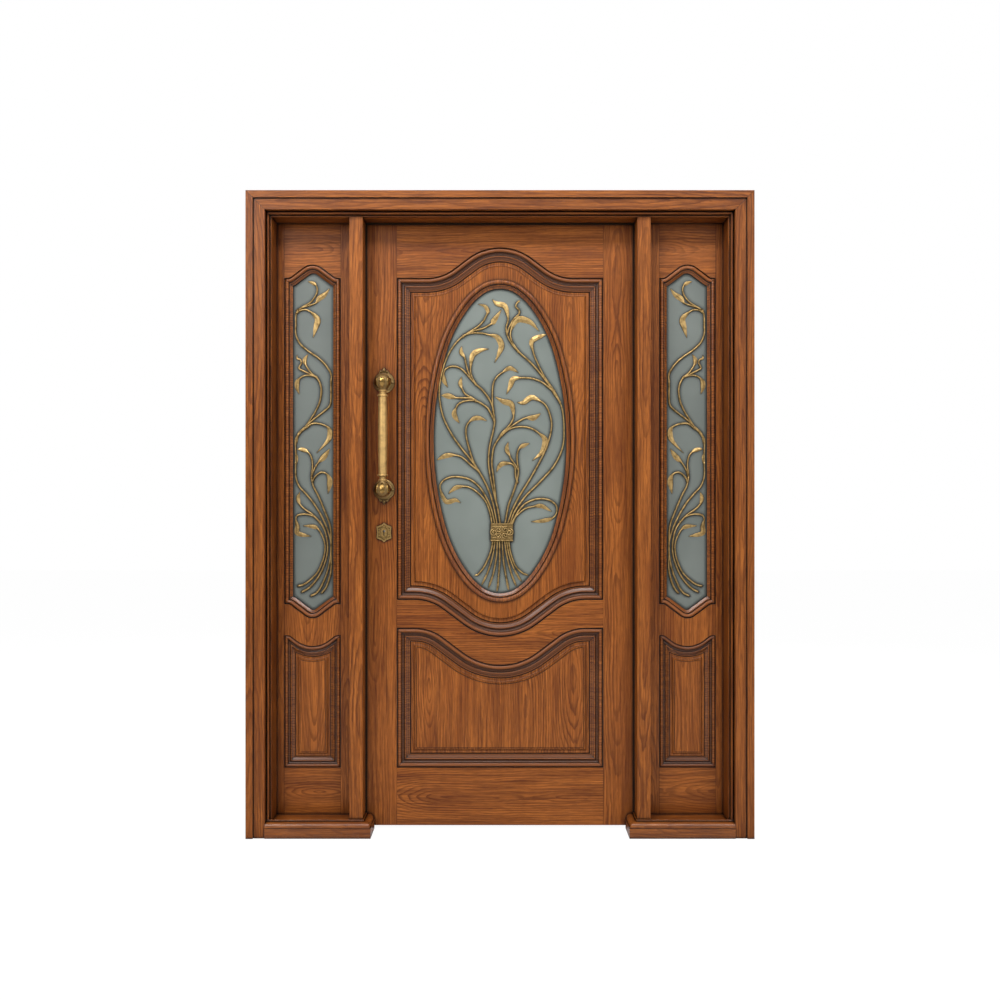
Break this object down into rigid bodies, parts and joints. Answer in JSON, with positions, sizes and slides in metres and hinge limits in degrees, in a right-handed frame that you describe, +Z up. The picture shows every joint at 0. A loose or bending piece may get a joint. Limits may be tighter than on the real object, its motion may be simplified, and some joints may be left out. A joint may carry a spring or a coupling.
{
  "type": "entrance door with sidelights",
  "caption": "Panelled oak entrance door with an oval frosted light and brass vine ironwork, two fixed sidelights, moulded frame and casing, hinges, lock and pulls.",
  "frame": {"origin": "on the floor, midway between the mullions, in the plane of the leaf's outer face", "axes": "+X right seen from outside, +Y indoors, +Z up"},
  "size_m": [1.73, 0.25, 2.205],
  "materials": {
    "oak": "stained oak, satin",
    "oak_dark": "darker stained oak, satin",
    "frosted_glass": "frosted grey-green",
    "antique_brass": "antique, dark in the hollows",
    "steel": "plain",
    "seal": "matt"
  },
  "bodies": {
    "frame": {"jamb_left": "oak_dark", "jamb_right": "oak_dark", "head_jamb": "oak_dark", "mullion_left": "oak", "mullion_right": "oak", "casing_left": "oak", "casing_right": "oak", "casing_head": "oak", "sill_left": "oak", "sill_right": "oak", "door_seal": "seal", "strike_plate": "antique_brass", "frame_screws": "antique_brass", "hinge_frame_leaves": "antique_brass", "hinge_pins": "antique_brass", "left_outer_stile": "oak", "left_inner_stile": "oak", "left_top_rail": "oak", "left_mid_rail": "oak", "left_bottom_rail": "oak", "left_glass": "frosted_glass", "left_glass_moulding": "oak_dark", "left_vine": "antique_brass", "left_panel": "oak_dark", "left_panel_moulding": "oak_dark", "right_outer_stile": "oak", "right_inner_stile": "oak", "right_top_rail": "oak", "right_mid_rail": "oak", "right_bottom_rail": "oak", "right_glass": "frosted_glass", "right_glass_moulding": "oak_dark", "right_vine": "antique_brass", "right_panel": "oak_dark", "right_panel_moulding": "oak_dark"},
    "leaf": {"hinge_stile": "oak", "lock_stile": "oak", "top_rail": "oak", "lock_rail": "oak", "bottom_rail": "oak", "upper_panel": "oak", "lower_panel": "oak_dark", "upper_moulding": "oak_dark", "lower_moulding": "oak_dark", "oval_moulding": "oak_dark", "oval_glass": "frosted_glass", "oval_vine": "antique_brass", "vine_collar": "antique_brass", "hinge_door_leaves": "antique_brass", "leaf_screws": "antique_brass", "outer_pull": "antique_brass", "inner_pull": "antique_brass", "pull_studs": "steel", "outer_escutcheon": "antique_brass", "inner_escutcheon": "antique_brass", "lock_case": "steel", "lock_forend": "antique_brass"},
    "deadbolt": {"deadbolt": "antique_brass"}
  },
  "joints": [
    {"name": "leaf_hinge", "type": "hinge", "parent": "frame", "child": "leaf", "pos_m": [0.4825, 0.0575, 1.06], "axis": [0, 0, -1], "range_deg": [0, 110]},
    {"name": "bolt_slide", "type": "slide", "parent": "leaf", "child": "deadbolt", "axis": [-1, 0, 0], "range_m": [0, 0.02]}
  ]
}
